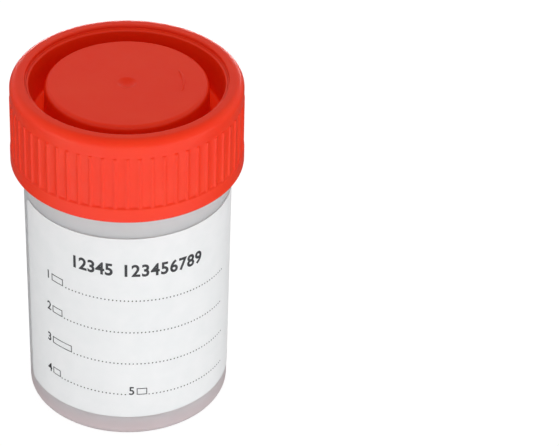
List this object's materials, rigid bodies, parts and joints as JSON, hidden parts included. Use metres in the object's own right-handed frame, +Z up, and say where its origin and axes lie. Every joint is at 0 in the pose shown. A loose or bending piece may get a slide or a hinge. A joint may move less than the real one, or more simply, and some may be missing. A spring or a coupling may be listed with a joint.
{
  "type": "specimen container",
  "caption": "Straight-sided translucent plastic specimen container with a ribbed red screw cap, a plug seal behind a ring channel and a white paper writing label.",
  "frame": {"origin": "centre of the standing ring under the base, on the surface that the container stands on", "axes": "+Z up along the container's axis, -Y to the front of the writing label"},
  "size_m": [0.0444, 0.0444, 0.07],
  "materials": {
    "natural_polypropylene": "milky translucent, satin moulded surface",
    "red_polyethylene": "opaque red, soft satin sheen",
    "label_paper": "white coated paper with printed writing lines"
  },
  "bodies": {
    "container": {"container_body": "natural_polypropylene", "writing_label": "label_paper"},
    "cap": {"screw_cap": "red_polyethylene"}
  },
  "joints": [
    {"name": "cap_lift", "type": "slide", "parent": "container", "child": "cap", "axis": [0, 0, 1], "range_m": [0, 0.045]}
  ]
}
